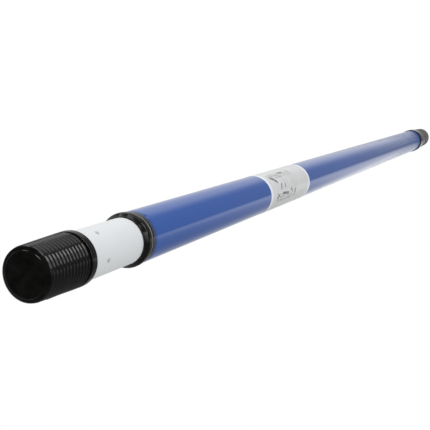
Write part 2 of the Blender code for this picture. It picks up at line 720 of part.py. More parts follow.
def make_crown_ring():
    """The ring that runs on the motor housing and carries the near end of the winding tube."""
    x = CROWN_X
    rim = [(x, 18.1), (x + 0.8, 18.2), (x + 3.4, CROWN_R - 0.45), (x + 4.2, CROWN_R), (x + 8.0, CROWN_R),
           (x + 8.4, 20.3)]
    groove = [(x + 8.4, CROWN_GROOVE_R), (x + 10.8, CROWN_GROOVE_R), (x + 10.8, CROWN_REAR_R)]
    plug = [(x + 12.5, CROWN_REAR_R), (x + 12.5, PLUG_R), (x + 42, PLUG_R)]
    outline = [(x, CROWN_BORE_R), *rim, *groove, *plug, (x + 42, CROWN_BORE_R)]
    turned("crown_ring", outline, BLACK_PLASTIC, OUTER_STEPS, holder=TUBE)
    ring("crown_seal", (x + 8.7, x + 10.5), 19.1, 20.45, RUBBER, OUTER_STEPS, holder=TUBE)


# the idler end

def make_idler():
    """The flanged plug in the tube's far end, and the spigot that turns freely in it."""
    flange = [(IDLER_START, 9.5), (IDLER_START, PLUG_R), (TUBE_X[1] + GAP, PLUG_R),
              (TUBE_X[1] + GAP, FLANGE_R - 0.6),
              (TUBE_X[1] + 0.9, FLANGE_R), (FLANGE_END - 1.5, FLANGE_R), (FLANGE_END, FLANGE_R - 1.5),
              (FLANGE_END, 9.5)]
    turned("end_flange", flange, BLACK_PLASTIC, OUTER_STEPS, holder=TUBE)
    bush_x = (IDLER_START + 8, FLANGE_END)
    ring("idler_bush", bush_x, AXLE_R + GAP, BUSH_R, BRONZE, INNER_STEPS, holder=TUBE)
    cap_start = OVERALL_LENGTH - CAP_LENGTH
    axle_end = OVERALL_LENGTH - CAP_WALL - 8 - GAP
    axle = disc_outline((IDLER_START + 1.5, axle_end), AXLE_R)
    turned("idler_axle", axle, STEEL, INNER_STEPS, holder=IDLER)
    near, far = FLANGE_END + 0.6, cap_start - GAP
    outside = [(near, SLEEVE_R - 0.8), (near + 0.8, SLEEVE_R), (far, SLEEVE_R)]
    hollow = [(far, 15.0), (near + 5.4, 15.0), (near + 5.4, 9.0), (far, 9.0)]
    sleeve = [(near, AXLE_R + GAP), *outside, *hollow, (far, AXLE_R + GAP)]
    turned("idler_sleeve", sleeve, GREY_PLASTIC, OUTER_STEPS, holder=IDLER)


TUBE = pivot("tube_axis")
IDLER = pivot("idler_axis")
ROTOR = pivot("rotor_axis")
CARRIER_1 = pivot("carrier_1_axis")
CARRIER_2 = pivot("carrier_2_axis")
RIVET_HOLES = round_the_axis(RIVETS, ADAPTER_RIVET_X, 18.0)
ADAPTER_HOLES = rods("adapter_holes", RIVET_HOLES, RIVET_R + GAP, 8, cutter=True)

make_head_cap()
make_head_core()
make_head_collar()
make_housing_tube()
make_cable_socket()
make_setting_button()
make_board_lead()
make_electronics()
make_brake()
make_stator()
make_rotor()
make_end_bells()
make_gears()
make_carriers()
make_output()
make_drive_adapter()
make_clips()
make_winding_tube()
make_crown_ring()
make_idler()
make_end_cap()
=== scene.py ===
"""The looks of a roller shutter motor built into its winding tube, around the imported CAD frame.

The turning axis is world X, and the head that the bracket holds starts at X = 0. Sizes in this script
are millimetres unless a comment says otherwise; they come from the CAD nodes' boxes where they can.
"""
import json
import math

import bmesh
import bpy
from mathutils import Matrix, Vector


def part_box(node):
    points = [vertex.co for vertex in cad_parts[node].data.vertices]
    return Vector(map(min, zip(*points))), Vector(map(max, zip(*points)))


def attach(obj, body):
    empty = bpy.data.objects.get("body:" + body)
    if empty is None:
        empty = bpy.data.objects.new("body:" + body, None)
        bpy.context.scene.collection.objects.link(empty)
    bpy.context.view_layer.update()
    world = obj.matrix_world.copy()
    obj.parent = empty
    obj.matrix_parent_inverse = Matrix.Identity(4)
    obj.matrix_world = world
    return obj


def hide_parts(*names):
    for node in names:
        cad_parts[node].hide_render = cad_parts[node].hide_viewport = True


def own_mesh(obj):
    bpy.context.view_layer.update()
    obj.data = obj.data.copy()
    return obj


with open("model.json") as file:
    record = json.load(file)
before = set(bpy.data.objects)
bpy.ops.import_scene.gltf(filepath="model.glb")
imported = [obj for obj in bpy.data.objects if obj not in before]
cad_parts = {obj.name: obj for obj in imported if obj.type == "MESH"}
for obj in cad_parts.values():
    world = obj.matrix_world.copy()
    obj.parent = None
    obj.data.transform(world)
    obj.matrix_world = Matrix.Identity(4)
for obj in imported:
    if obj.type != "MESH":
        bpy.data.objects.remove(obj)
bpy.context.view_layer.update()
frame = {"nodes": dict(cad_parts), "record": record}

MM = 0.001
ROUND = 144               # facets round the tubes and caps
SMALL_ROUND = 40          # facets round the button and the contacts
CORNER_STEPS = 4          # facets in a rounded corner of a profile
EDGE_STEPS = 3            # facets in a rounded edge of a box
SHARP = math.radians(38)  # edges steeper than this are not shaded smooth
CLEARANCE = 0.3           # between a piece and what it stands in
THROUGH = 3.0             # how far a cutter reaches past the surface
TINY = 1e-4               # shorter than this counts as nothing


def span(node):
    """Where a CAD node starts and ends along the axis, and how far it reaches from it."""
    low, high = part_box(node)
    return low.x / MM, high.x / MM, max(high.y, high.z, -low.y, -low.z) / MM


# the camera, which looks along the tube from just beside its near end

CAMERA_AT = Vector((-0.4075, -0.2958, 0.1133))  # metres
CAMERA_HEADING = math.radians(22.943)           # from the tube's axis
CAMERA_PITCH = math.radians(-8.900)
CAMERA_LENS = 70.33
SENSOR = 36.0


def make_camera():
    data = bpy.data.cameras.new("camera")
    data.lens = CAMERA_LENS
    data.sensor_width = SENSOR
    data.clip_start = 0.01
    camera = bpy.data.objects.new("camera", data)
    camera.location = CAMERA_AT
    camera.rotation_euler = (math.pi / 2 + CAMERA_PITCH, 0.0, CAMERA_HEADING - math.pi / 2)
    bpy.context.scene.collection.objects.link(camera)
    bpy.context.scene.camera = camera


# materials

NOISE_ROUGHNESS = 0.55


class Look:
    """A material being built: its node tree, its shader, and short ways to add nodes."""

    def __init__(self, name, roughness=0.4, metallic=0.0, coat=0.0, coat_roughness=0.03, specular=0.5):
        self.material = bpy.data.materials.new(name)
        self.material.use_nodes = True
        self.nodes = self.material.node_tree.nodes
        self.links = self.material.node_tree.links
        self.shader = self.nodes["Principled BSDF"]
        self.set(self.shader, "Roughness", roughness)
        self.set(self.shader, "Metallic", metallic)
        self.set(self.shader, "Coat Weight", coat)
        self.set(self.shader, "Coat Roughness", coat_roughness)
        self.set(self.shader, "Specular IOR Level", specular)
        self.place = self.nodes.new("ShaderNodeTexCoord").outputs["Object"]

    def set(self, node, socket, value):
        """Sets a socket to a number, a colour or another node's output."""
        target = node.inputs[socket]
        if isinstance(value, bpy.types.NodeSocket):
            self.links.new(value, target)
        elif isinstance(value, tuple) and len(value) == 3 and target.type == "RGBA":
            target.default_value = (*value, 1.0)
        else:
            target.default_value = value

    def math(self, operation, a, b=0.0, c=0.0):
        node = self.nodes.new("ShaderNodeMath")
        node.operation = operation
        for index, value in enumerate((a, b, c)):
            self.set(node, index, value)
        return node.outputs[0]

    def noise(self, scale, detail, stretch=(1.0, 1.0, 1.0)):
        """A noise from 0 to 1. Scale is in features per metre, and stretch multiplies it along X, Y, Z."""
        mapping = self.nodes.new("ShaderNodeMapping")
        self.set(mapping, "Vector", self.place)
        mapping.inputs["Scale"].default_value = stretch
        node = self.nodes.new("ShaderNodeTexNoise")
        self.set(node, "Vector", mapping.outputs[0])
        self.set(node, "Scale", scale)
        self.set(node, "Detail", detail)
        self.set(node, "Roughness", NOISE_ROUGHNESS)
        return node.outputs["Fac"]

    def ramp(self, value, low, high, to_low=0.0, to_high=1.0):
        """Maps a value between two limits to a number between two others, and holds it there."""
        node = self.nodes.new("ShaderNodeMapRange")
        for socket, number in (("Value", value), ("From Min", low), ("From Max", high),
                               ("To Min", to_low), ("To Max", to_high)):
            self.set(node, socket, number)
        return node.outputs["Result"]

    def mix(self, factor, first, second):
        node = self.nodes.new("ShaderNodeMix")
        node.data_type = "RGBA"
        self.set(node, 0, factor)
        self.set(node, 6, first)
        self.set(node, 7, second)
        return node.outputs[2]

    def measure(self, kind):
        """A place's mm "along" the axis or "away" from it, or its radians "round" it from +Y."""
        split = self.nodes.new("ShaderNodeSeparateXYZ")
        self.set(split, 0, self.place)
        x, y, z = split.outputs
        if kind == "along":
            return self.math("MULTIPLY", x, 1 / MM)
        if kind == "round":
            return self.math("ARCTAN2", z, y)
        squares = self.math("MULTIPLY_ADD", z, z, self.math("MULTIPLY", y, y))
        return self.math("MULTIPLY", self.math("SQRT", squares), 1 / MM)

    def colour(self, value):
        self.set(self.shader, "Base Color", value)

    def rough(self, value):
        self.set(self.shader, "Roughness", value)

    def bump(self, height, strength, distance):
        """Lifts the surface by a height from 0 to 1, times a distance in metres."""
        node = self.nodes.new("ShaderNodeBump")
        self.set(node, "Height", height)
        self.set(node, "Strength", strength)
        self.set(node, "Distance", distance)
        self.set(self.shader, "Normal", node.outputs[0])
        return self


def moulded(name, colour, roughness, grain=2600.0, depth=0.00002, spread=0.25, specular=0.5):
    """A moulded plastic: fine grain, slow changes of gloss, and a little dust in its colour.

    The grain is in features per metre, its depth in metres, and spread is how much lighter dust makes it.
    """
    look = Look(name, roughness, specular=specular)
    lighter = tuple(min(1.0, c * (1 + spread) + 0.004) for c in colour)
    look.colour(look.mix(look.ramp(look.noise(160.0, 5.0), 0.35, 0.75), colour, lighter))
    look.rough(look.ramp(look.noise(90.0, 4.0), 0.3, 0.7, roughness * 0.85, roughness * 1.2))
    return look.bump(look.noise(grain, 2.0), 0.35, depth).material


def enamel(name, colour, deeper, roughness, specular, pit_shade_or_end_band, darker_part, haze=None):
    """A paint on steel tube: faint orange peel, slow shifts of colour along it, and a darker part.

    The darker part is measured away from the axis, where it is painted shade in a stake's pit, or along
    it, where it is a darker, greyer band at the rolled end: it is fully dark up to its first number in
    mm, and ends at its second. A haze is two places along the tube, in mm, and the roughness that it
    adds from the first to the second.
    """
    look = Look(name, roughness, specular=specular)
    paint = look.mix(look.ramp(look.noise(14.0, 4.0, (0.25, 1.0, 1.0)), 0.3, 0.7), colour, deeper)
    kind, fully, barely = darker_part
    # painted shade in the white tube's stake pits, and a darker, greyer band at the blue tube's rolled end
    share = look.ramp(look.measure(kind), fully, barely, 1.0, 0.0)
    look.colour(look.mix(share, paint, pit_shade_or_end_band))
    gloss = look.ramp(look.noise(60.0, 4.0), 0.3, 0.7, roughness * 0.8, roughness * 1.3)
    if haze:
        low, high, added = haze
        gloss = look.math("ADD", gloss, look.ramp(look.measure("along"), low, high, 0.0, added))
    look.rough(gloss)
    return look.bump(look.noise(420.0, 2.0), 0.03, 0.00002).material


def metal(name, colour, roughness, grain=(1.0, 0.04, 0.04), scale=5000.0, spread=0.2):
    """A bare metal, with its grain running round the axis as turning leaves it, or as it is stretched."""
    look = Look(name, roughness, metallic=1.0)
    darker = tuple(c * (1 - spread) for c in colour)
    lines = look.noise(scale, 2.0, grain)
    look.colour(look.mix(look.ramp(look.noise(70.0, 5.0), 0.35, 0.7), colour, darker))
    look.rough(look.ramp(lines, 0.3, 0.7, roughness * 0.75, roughness * 1.25))
    return look.bump(lines, 0.3, 0.00001).material


SHEET_THICK = 0.5         # of the steel sheets
SHEET_LINE = 0.06         # half the width of the line between two of them
WIRE_PITCH = 1 / 22       # radians between two turns of a coil


def laminated(name, colour):
    """Stacked electrical steel, seen as fine lines across the axis."""
    look = Look(name, 0.5, metallic=0.8)
    sheet = look.math("PINGPONG", look.measure("along"), SHEET_THICK / 2)
    line = look.ramp(sheet, 0.0, SHEET_LINE)
    darker = tuple(c * 0.45 for c in colour)
    look.colour(look.mix(line, darker, colour))
    return look.bump(line, 0.5, 0.00005).material


def wound(name, colour):
    """Enamelled copper wire, seen as close turns."""
    look = Look(name, 0.32, metallic=0.9, coat=0.4, coat_roughness=0.15)
    turns = look.math("PINGPONG", look.math("MULTIPLY", look.measure("round"), 1 / WIRE_PITCH), 0.5)
    turns = look.math("MULTIPLY", turns, 2.0)
    darker = tuple(c * 0.5 for c in colour)
    look.colour(look.mix(look.ramp(turns, 0.1, 0.6), darker, colour))
    return look.bump(turns, 0.6, 0.0002).material


def board_mask(name, colour):
    """A green board with tracks a little lighter than the mask between them."""
    look = Look(name, 0.35, coat=0.3, coat_roughness=0.2)
    node = look.nodes.new("ShaderNodeTexBrick")
    look.set(node, "Vector", look.place)
    look.set(node, "Scale", 220.0)
    look.set(node, "Mortar Size", 0.04)
    lighter = tuple(min(1.0, c * 1.9 + 0.01) for c in colour)
    look.colour(look.mix(node.outputs["Fac"], lighter, colour))
    return look.bump(node.outputs["Fac"], 0.3, 0.00005).material


# the label's generic marks, placed in mm along it and degrees round it:
# blocks of short dashes as (along, angle, length, rows), and single strokes as
# (along, angle, along, angle, width)
LABEL_BLOCKS = ((14.0, 111.0, 70.0, 2), (18.0, 176.0, 66.0, 3), (30.0, 300.0, 70.0, 3),
                (64.0, 20.0, 40.0, 2))
LABEL_STROKES = ((19.5, 126.0, 28.0, 143.0, 3.6), (37.8, 153.0, 33.0, 168.0, 2.2),
                 (48.5, 157.0, 46.5, 165.0, 1.6), (21.0, 193.0, 25.0, 184.0, 2.6),
                 (37.0, 182.0, 56.0, 186.0, 3.0), (66.0, 176.0, 68.0, 184.0, 3.0),
                 (80.0, 180.0, 78.5, 189.0, 2.2), (50.0, 113.0, 62.0, 116.0, 2.4))
LABEL_ROW = 3.6
LABEL_ROW_INKED = 0.72    # the inked share of a row's height
LABEL_DASH = 4.6
LABEL_DASH_GAPS = 0.38    # the share of dashes that are left out
LABEL_DASH_INK = 0.45     # how dark a dash is beside a stroke
LABEL_MARGIN = 6.5        # the paler bands at the film's two ends
LABEL_MARGIN_FADE = 1.0


def stroke_mark(look, along, arc, radius, mark):
    """1 on a round-ended stroke between two places on the label, and 0 off it."""
    x, angle, end_x, end_angle, width = mark
    y = math.radians(angle) * radius
    step = Vector((end_x - x, math.radians(end_angle) * radius - y))
    from_x = look.math("SUBTRACT", along, x)
    from_y = look.math("SUBTRACT", arc, y)
    share = look.math("MULTIPLY", from_x, step.x / step.length_squared)
    share = look.math("MULTIPLY_ADD", from_y, step.y / step.length_squared, share)
    share = look.ramp(share, 0.0, 1.0)
    off_x = look.math("MULTIPLY_ADD", share, -step.x, from_x)
    off_y = look.math("MULTIPLY_ADD", share, -step.y, from_y)
    squared = look.math("MULTIPLY_ADD", off_x, off_x, look.math("MULTIPLY", off_y, off_y))
    return look.ramp(squared, (0.4 * width) ** 2, (0.55 * width) ** 2, 1.0, 0.0)


def dash_blocks(look, along, arc, radius):
    """1 on the dashes of the label's blocks, and 0 off them."""
    cells = look.nodes.new("ShaderNodeCombineXYZ")
    look.set(cells, 0, look.math("FLOOR", look.math("DIVIDE", along, LABEL_DASH)))
    look.set(cells, 1, look.math("FLOOR", look.math("DIVIDE", arc, LABEL_ROW)))
    chance = look.nodes.new("ShaderNodeTexWhiteNoise")
    look.set(chance, "Vector", cells.outputs[0])
    kept = look.math("GREATER_THAN", chance.outputs["Value"], LABEL_DASH_GAPS)
    from_middle = look.math("PINGPONG", arc, LABEL_ROW / 2)
    in_row = look.math("LESS_THAN", from_middle, LABEL_ROW * LABEL_ROW_INKED / 2)
    inside = 0.0
    for x, degrees, length, rows in LABEL_BLOCKS:
        low = math.radians(degrees) * radius
        in_length = look.math("MULTIPLY", look.math("GREATER_THAN", along, x),
                              look.math("LESS_THAN", along, x + length))
        in_height = look.math("MULTIPLY", look.math("GREATER_THAN", arc, low),
                              look.math("LESS_THAN", arc, low + rows * LABEL_ROW))
        inside = look.math("MAXIMUM", look.math("MULTIPLY", in_length, in_height), inside)
    return look.math("MULTIPLY", inside, look.math("MULTIPLY", kept, in_row))


def printed_film(name, colour, margin, ink, place, radius):
    """A pale film with paler ends, blocks of plain dashes and strokes for print, and faint creases."""
    look = Look(name, 0.38, coat=0.15, coat_roughness=0.2)
    start, length = place
    along = look.math("SUBTRACT", look.measure("along"), start)
    turn = look.math("MODULO", look.math("ADD", look.measure("round"), 2 * math.pi), 2 * math.pi)
    arc = look.math("MULTIPLY", turn, radius)
    inked = look.math("MULTIPLY", dash_blocks(look, along, arc, radius), LABEL_DASH_INK)
    for mark in LABEL_STROKES:
        inked = look.math("MAXIMUM", inked, stroke_mark(look, along, arc, radius, mark))
    inked = look.math("MULTIPLY", inked, look.ramp(look.noise(900.0, 2.0), 0.3, 0.6, 0.45, 0.95))
    from_middle = look.math("ABSOLUTE", look.math("SUBTRACT", along, length / 2))
    band_start = length / 2 - LABEL_MARGIN
    end_band = look.ramp(from_middle, band_start, band_start + LABEL_MARGIN_FADE)
    duller = tuple(c * 0.88 for c in colour)
    film = look.mix(look.ramp(look.noise(160.0, 4.0, (1.0, 0.3, 0.3)), 0.35, 0.7), colour, duller)
    film = look.mix(end_band, film, margin)
    look.colour(look.mix(inked, film, ink))
    return look.bump(look.noise(120.0, 3.0), 0.12, 0.0002).material


def make_looks():
    """One material for each of the record's slots."""
    label_start, label_end, label_r = span("label")
    return {
        "black_plastic": moulded("black_plastic", (0.0024, 0.0024, 0.0021), 0.13, depth=0.000004,
                                 specular=0.27),
        # painted shade: the white tube's stake pits are darkened in its colour
        "white_enamel": enamel("white_enamel", (0.775, 0.795, 0.81), (0.755, 0.78, 0.795), 0.5, 0.3,
                               pit_shade_or_end_band=(0.44, 0.45, 0.47), darker_part=("away", 16.7, 17.4)),
        "blue_enamel": enamel("blue_enamel", (0.030, 0.105, 0.40), (0.026, 0.096, 0.38), 0.10, 0.6,
                              pit_shade_or_end_band=(0.045, 0.062, 0.13), darker_part=("along", 133.5, 136.0),
                              haze=(1000.0, 1290.0, 0.12)),
        "label_film": printed_film("label_film", (0.74, 0.755, 0.76), margin=(0.86, 0.91, 0.98),
                                   ink=(0.02, 0.02, 0.03), place=(label_start, label_end - label_start),
                                   radius=label_r),
        "rubber": moulded("rubber", (0.135, 0.13, 0.11), 0.45, grain=1500.0, depth=0.00001),
        "steel": metal("steel", (0.60, 0.60, 0.61), 0.28),
        "iron": laminated("iron", (0.26, 0.26, 0.27)),
        "aluminium": metal("aluminium", (0.78, 0.79, 0.80), 0.36, scale=2500.0),
        "copper": wound("copper", (0.72, 0.33, 0.16)),
        "brass": metal("brass", (0.80, 0.62, 0.30), 0.25),
        "bronze": metal("bronze", (0.50, 0.33, 0.16), 0.45, grain=(1.0, 1.0, 1.0), scale=3000.0),
        "board": board_mask("board", (0.012, 0.10, 0.04)),
        "grey_plastic": moulded("grey_plastic", (0.12, 0.118, 0.115), 0.5),
        "nylon": moulded("nylon", (0.76, 0.74, 0.66), 0.4, spread=0.06),
        "wire_sleeve": moulded("wire_sleeve", (0.14, 0.05, 0.025), 0.45),
        "brake_lining": moulded("brake_lining", (0.12, 0.10, 0.08), 0.8, grain=900.0, depth=0.0001),
        "magnet": metal("magnet", (0.09, 0.09, 0.10), 0.4),
    }


# profiles, as lists of (along, radius), and pieces turned from them

def rounded(points, cut):
    """The profile with each inner corner rounded. A third number in a point is its own cut length."""
    result = [points[0][:2]]
    for before, corner, after in zip(points, points[1:], points[2:]):
        here = Vector(corner[:2])
        length = corner[2] if len(corner) > 2 else cut
        arms = [Vector(other[:2]) - here for other in (before, after)]
        ends = [here + arm.normalized() * min(length, arm.length * 0.49) for arm in arms]
        for step in range(CORNER_STEPS + 1):
            t = step / CORNER_STEPS
            point = ends[0] * (1 - t) ** 2 + here * 2 * t * (1 - t) + ends[1] * t ** 2
            result.append(tuple(point))
    return result + [points[-1][:2]]


DENT_SPAN = 4.0           # how far to each side of a dent its surface is divided
DENT_STEP = 0.25
DENT_FLATNESS = 2.5       # 2 would be a bell, and more makes its floor flatter and its sides steeper


def divided(points, middle):
    """The profile with points added round a place along the axis, for dents to be pressed in."""
    low, high = middle - DENT_SPAN, middle + DENT_SPAN
    result = [points[0]]
    for a, b in zip(points, points[1:]):
        start, end = sorted((a[0], b[0]))
        if start < high and end > low and end - start > DENT_STEP:
            inside = [low + n * DENT_STEP for n in range(int((high - low) / DENT_STEP) + 1)]
            inside = [x for x in inside if start < x < end]
            if b[0] < a[0]:
                inside.reverse()
            for x in inside:
                share = (x - a[0]) / (b[0] - a[0])
                result.append((x, a[1] + share * (b[1] - a[1])))
        result.append(b)
    return result


def pressed(x, angle, radius, dents):
    """How far the surface is pushed in at a place. A dent is (along, angle, reach, depth)."""
    depth = 0.0
    for at, towards, reach, deep in dents:
        turn = (angle - towards + math.pi) % (2 * math.pi) - math.pi
        distance = math.hypot(x - at, turn * radius) / reach
        depth += deep * math.exp(-distance ** DENT_FLATNESS)
    return depth


def turned(name, profile, closed=False, around=ROUND, dents=(), dent_floor=0.0):
    """A turned solid about the X axis. Closed profiles are rings, and the others start and end on it.

    Dents are never pressed in past the radius of their floor.
    """
    mesh = bpy.data.meshes.new(name)
    bm = bmesh.new()
    rows = []
    for x, radius in profile:
        if radius < TINY:
            rows.append([bm.verts.new((x * MM, 0.0, 0.0))] * around)
            continue
        row = []
        for n in range(around):
            angle = 2 * math.pi * n / around
            r = max(radius - pressed(x, angle, radius, dents), dent_floor)
            row.append(bm.verts.new((x * MM, r * math.cos(angle) * MM, r * math.sin(angle) * MM)))
        rows.append(row)
    pairs = list(zip(rows, rows[1:])) + ([(rows[-1], rows[0])] if closed else [])
    for first, second in pairs:
        for n in range(around):
            corners = [first[n], first[(n + 1) % around], second[(n + 1) % around], second[n]]
            bm.faces.new(dict.fromkeys(corners))
    bmesh.ops.recalc_face_normals(bm, faces=bm.faces)
    bm.to_mesh(mesh)
    bm.free()
    return new_piece(name, mesh)


def shade(mesh):
    mesh.shade_smooth()
    mesh.set_sharp_from_angle(angle=SHARP)


def new_piece(name, mesh):
    shade(mesh)
    piece = bpy.data.objects.new(name, mesh)
    bpy.context.scene.collection.objects.link(piece)
    return piece


def combine(piece, other, operation):
    """Cuts another solid out of a piece (DIFFERENCE) or joins it on (UNION), and removes that solid."""
    step = piece.modifiers.new("combine", "BOOLEAN")
    step.operation = operation
    step.solver = "EXACT"
    step.object = other
    bpy.context.view_layer.update()
    evaluated = piece.evaluated_get(bpy.context.evaluated_depsgraph_get())
    mesh = bpy.data.meshes.new_from_object(evaluated)
    piece.modifiers.clear()
    piece.data = mesh
    shade(mesh)
    bpy.data.objects.remove(other, do_unlink=True)


def soft_box(name, low, high, radius):
    """A box with rounded edges, its corners given in mm."""
    mesh = bpy.data.meshes.new(name)
    bm = bmesh.new()
    centre = [(a + b) / 2 * MM for a, b in zip(low, high)]
    size = [(b - a) * MM for a, b in zip(low, high)]
    bmesh.ops.create_cube(bm, size=1.0, matrix=Matrix.Translation(centre) @ Matrix.Diagonal((*size, 1.0)))
    bmesh.ops.bevel(bm, geom=bm.edges[:], offset=radius * MM, segments=EDGE_STEPS, affect="EDGES",
                    profile=0.5)
    bm.to_mesh(mesh)
    bm.free()
    return new_piece(name, mesh)


def wear(piece, slot):
    """Gives a piece the material of a record slot, and names that slot."""
    piece.data.materials.clear()
    piece.data.materials.append(LOOKS[slot])


def stand_for(piece, node, body):
    """The piece takes a CAD node's place, body and finish."""
    wear(piece, SLOTS[node])
    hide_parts(node)
    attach(piece, body)


# the ribbed spigots

FACE_R = 14.8             # the flat disc at the end
FACE_STEP = 0.7           # how far the disc stands out
STEP_R = 16.3             # the flat behind the disc
SHOULDER_X = 1.9
RIM_LENGTH = 0.5          # the plain rim at the open end
RIB_COUNT = 12
RIB_PITCH = 3.55
FIRST_RIB = 3.6
RIB_DEPTH = 0.67
RIB_START = 0.2           # how far behind the shoulder the ribs begin
RIB_END = 0.7             # and how far before the open end they stop
RIB_STEPS = 24
RIB_ROUNDING = 0.75       # 1 would be a sharp triangle, and towards 0 a wave
RIB_DRAFT = 1.1           # how much narrower the mould leaves the ribs at the flat end
CAP_WALL = 3.2
CAP_CAVITY_R = 15.3
WINDOW_TOP = -12.0        # the cable socket's window is cut up to this height
WINDOW_CORNER = 1.0


def ribbed_profile(length, crest_r):
    """The outer side of a ribbed spigot, from the middle of its flat end to the rim of its bore."""
    front_r = crest_r - RIB_DRAFT
    valley_r = front_r - RIB_DEPTH
    face = [(0.0, 0.0), (0.0, FACE_R, 0.6), (FACE_STEP, FACE_R + 0.6, 0.3), (FACE_STEP, FACE_R + 1.1, 0.2),
            (FACE_STEP, STEP_R, 0.4), (SHOULDER_X - 0.3, front_r - 0.1, 1.3), (SHOULDER_X, valley_r)]
    profile = rounded(face, 0.3)[:-1]
    for n in range(RIB_COUNT):
        crest = FIRST_RIB + n * RIB_PITCH
        for step in range(RIB_STEPS + 1):
            turn = 2 * math.pi * step / RIB_STEPS - math.pi
            height = 0.5 + 0.5 * math.asin(RIB_ROUNDING * math.cos(turn)) / math.asin(RIB_ROUNDING)
            x = crest + RIB_PITCH * turn / (2 * math.pi)
            low_r = valley_r + RIB_DRAFT * x / length
            if SHOULDER_X + RIB_START < x < length - RIB_END and x > profile[-1][0] + TINY:
                profile.append((x, low_r + RIB_DEPTH * height))
    low_r = crest_r - RIB_DEPTH
    rim = [(length - RIM_LENGTH, low_r), (length, low_r), (length, CAP_CAVITY_R)]
    return profile + rounded(rim, 0.2)


def make_head_cap():
    start, end, crest_r = span("head_cap")
    cavity = [(CAP_WALL, CAP_CAVITY_R), (CAP_WALL, 0.0)]
    cap = turned("ribbed_head", ribbed_profile(end - start, crest_r) + cavity)
    low, high = [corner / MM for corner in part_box("cable_socket")]
    window = soft_box("window", (low.x - CLEARANCE, low.y - CLEARANCE, -crest_r - THROUGH),
                      (high.x + CLEARANCE, high.y + CLEARANCE, WINDOW_TOP), WINDOW_CORNER)
    combine(cap, window, "DIFFERENCE")
    low, high = [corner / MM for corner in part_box("setting_button")]
    combine(cap, sideways_rod("hole", (low.x + high.x) / 2, *BUTTON_HOLE_Y, BUTTON_HOLE_R), "DIFFERENCE")
    stand_for(cap, "head_cap", "motor_head")


def sideways_rod(name, x, inner, outer, radius):
    """A plain rod along +Y, for cutting."""
    mesh = bpy.data.meshes.new(name)
    bm = bmesh.new()
    middle = Matrix.Translation((x * MM, (inner + outer) / 2 * MM, 0.0))
    pose = middle @ Matrix.Rotation(math.pi / 2, 4, "X")
    bmesh.ops.create_cone(bm, cap_ends=True, segments=SMALL_ROUND, radius1=radius * MM, radius2=radius * MM,
                          depth=(outer - inner) * MM, matrix=pose)
    bm.to_mesh(mesh)
    bm.free()
    return new_piece(name, mesh)


HUB_R = 9.0               # the hubs of the far cap and its sleeve, on the idler axle
HUB_BORE = 6.3
HUB_WEB = 10.0            # how deep the hub's web reaches in from the end wall
HUB_FLOOR = 8.0           # and how deep the bore ends


def make_end_cap():
    start, end, crest_r = span("end_cap")
    outside = [(end - x, r) for x, r in ribbed_profile(end - start, crest_r)]
    web = end - CAP_WALL - HUB_WEB
    bore_end = end - CAP_WALL - HUB_FLOOR
    hub = [(web, CAP_CAVITY_R), (web, HUB_R), (start, HUB_R), (start, HUB_BORE), (bore_end, HUB_BORE),
           (bore_end, 0.0)]
    stand_for(turned("ribbed_end", outside + hub), "end_cap", "idler_spigot")


# the head and the motor housing

STAKE_REACH = 1.7
STAKE_DEPTH = 0.9
STAKE_COUNT = 5
STAKE_X = 70.0
FIRST_STAKE = 210.0       # degrees round the axis from straight down
HOUSING_BORE = 16.25
COLLAR_BORE = 17.5
COLLAR_LIP_R = 16.2       # the collar's lip reaches over the housing's end
COLLAR_LIP = 0.9          # and is this thick
CORE_RIM_R = 17.0         # the part of the core between the ribbed head and its collar
CORE_R = 15.8             # its plug in the housing
CORE_SOCKET_R = 15.0      # its recess towards the head
CORE_BORE = 9.0
CORE_WEB_X = 36.0         # where that recess ends
TONGUE_END = (40.0, 8.0, 2.0)     # a corner of the tongue that carries the socket and the switch
TONGUE_EDGE = 0.6
BAR_LOW = (36.5, -12.0, -1.9)     # the bar that joins the tongue to the plug
BAR_HIGH = (41.0, 12.0, 1.9)
BAR_EDGE = 0.5


def polar_angle(degrees):
    """The CAD counts angles from straight down; turned() counts them from +Y."""
    return math.radians(degrees) - math.pi / 2


def make_head_collar():
    start, end, radius = span("head_collar")
    step = start + COLLAR_LIP
    profile = [(start, COLLAR_LIP_R), (start, radius - 0.3), (start + 0.5, radius, 0.5),
               (end - 0.9, radius, 0.5), (end, radius - 0.55, 0.3), (end, COLLAR_BORE),
               (step, COLLAR_BORE), (step, COLLAR_LIP_R)]
    ring = rounded(profile + [profile[0]], 0.15)[:-1]
    stand_for(turned("head_ring", ring, closed=True), "head_collar", "motor_head")


def make_head_core():
    """The core, whose rim shows in the gap between the ribbed head and its collar."""
    start, end, _ = span("head_core")
    near = span("head_cap")[1] + CLEARANCE
    far = span("head_collar")[0] - CLEARANCE
    profile = [(near, CORE_SOCKET_R), (near, CORE_RIM_R), (far, CORE_RIM_R), (far, CORE_R), (end, CORE_R),
               (end, CORE_BORE), (CORE_WEB_X, CORE_BORE), (CORE_WEB_X, CORE_SOCKET_R)]
    core = turned("head_plug", rounded(profile + [profile[0]], 0.2)[:-1], closed=True)
    _, side, top = TONGUE_END
    combine(core, soft_box("tongue", (start, -side, -top), TONGUE_END, TONGUE_EDGE), "UNION")
    combine(core, soft_box("bar", BAR_LOW, BAR_HIGH, BAR_EDGE), "UNION")
    stand_for(core, "head_core", "motor_head")


def make_housing_tube():
    start, end, radius = span("housing_tube")
    profile = [(start, HOUSING_BORE), (start, radius), (end, radius), (end, HOUSING_BORE),
               (start, HOUSING_BORE)]
    profile = divided(rounded(profile, 0.3)[1:], STAKE_X)
    dents = [(STAKE_X, polar_angle(FIRST_STAKE + 360.0 * n / STAKE_COUNT), STAKE_REACH, STAKE_DEPTH)
             for n in range(STAKE_COUNT)]
    tube = turned("motor_tube", profile, closed=True, around=2 * ROUND, dents=dents)
    stand_for(tube, "housing_tube", "motor_head")


